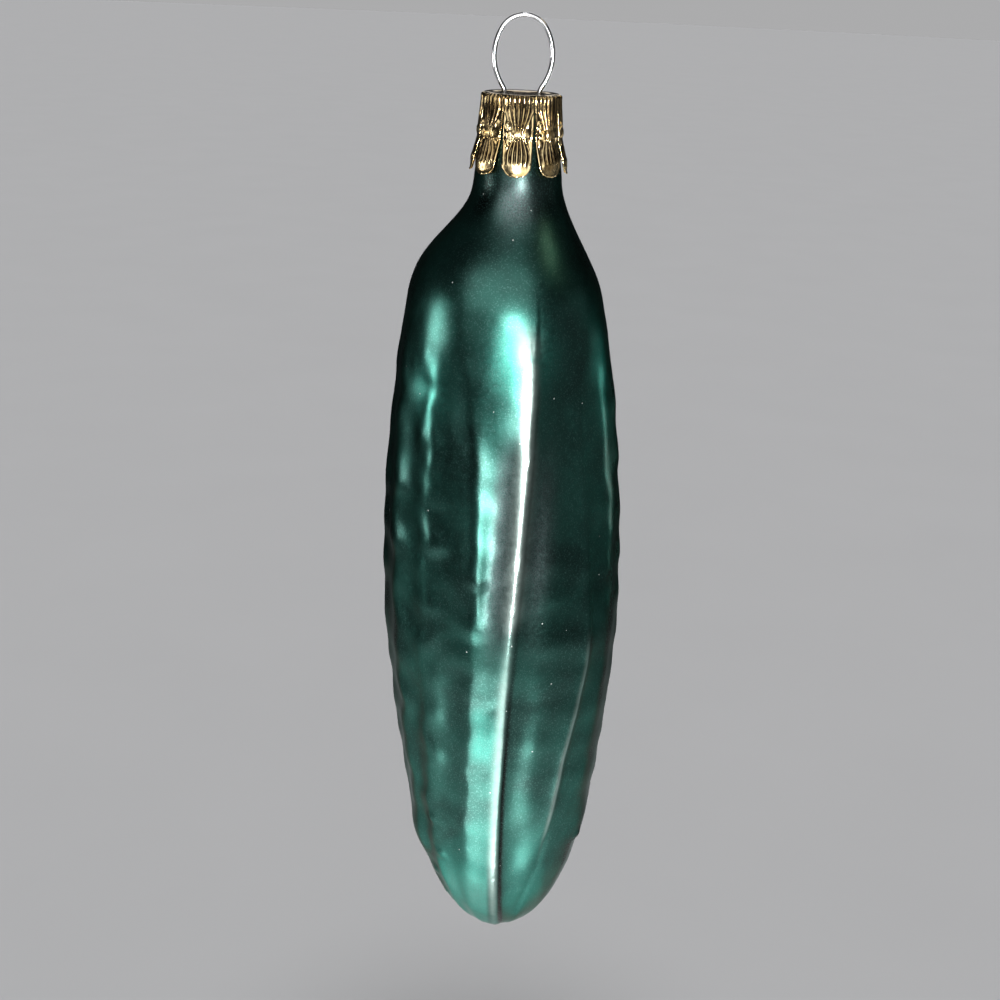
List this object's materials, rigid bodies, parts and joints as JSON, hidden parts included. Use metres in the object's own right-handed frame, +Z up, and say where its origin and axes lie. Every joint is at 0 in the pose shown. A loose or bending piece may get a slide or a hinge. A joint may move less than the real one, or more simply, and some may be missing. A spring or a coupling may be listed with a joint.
{
  "type": "pickle ornament",
  "caption": "Hollow blown-glass pickle with a ribbed, lacquered body, a stamped petal crown cap over its neck and a spring wire loop to hang it by.",
  "frame": {"origin": "inside of the hanger loop's crest, where it bears on the hook or twig that it hangs from", "axes": "+Z up along the cap and neck, the hanger loop in the XZ plane, +Y from the front of the pickle to its back, along the hook that passes through the loop"},
  "size_m": [0.0338, 0.0328, 0.1335],
  "materials": {
    "green_lacquer": "silvered inside, satin metallic lacquer outside",
    "gold_sheet": "polished stamping",
    "spring_wire": "bright drawn wire"
  },
  "bodies": {
    "hanger": {"hanger_wire": "spring_wire"},
    "cap": {"crown_cap": "gold_sheet"},
    "glass": {"glass_body": "green_lacquer"}
  },
  "joints": [
    {"name": "hanger_rock", "type": "hinge", "parent": "hanger", "child": "cap", "pos_m": [0, 0, -0.00909], "axis": [1, 0, 0], "range_deg": [-5, 5]},
    {"name": "neck_slide", "type": "slide", "parent": "cap", "child": "glass", "axis": [0, 0, -1], "range_m": [0, 0.03]}
  ]
}
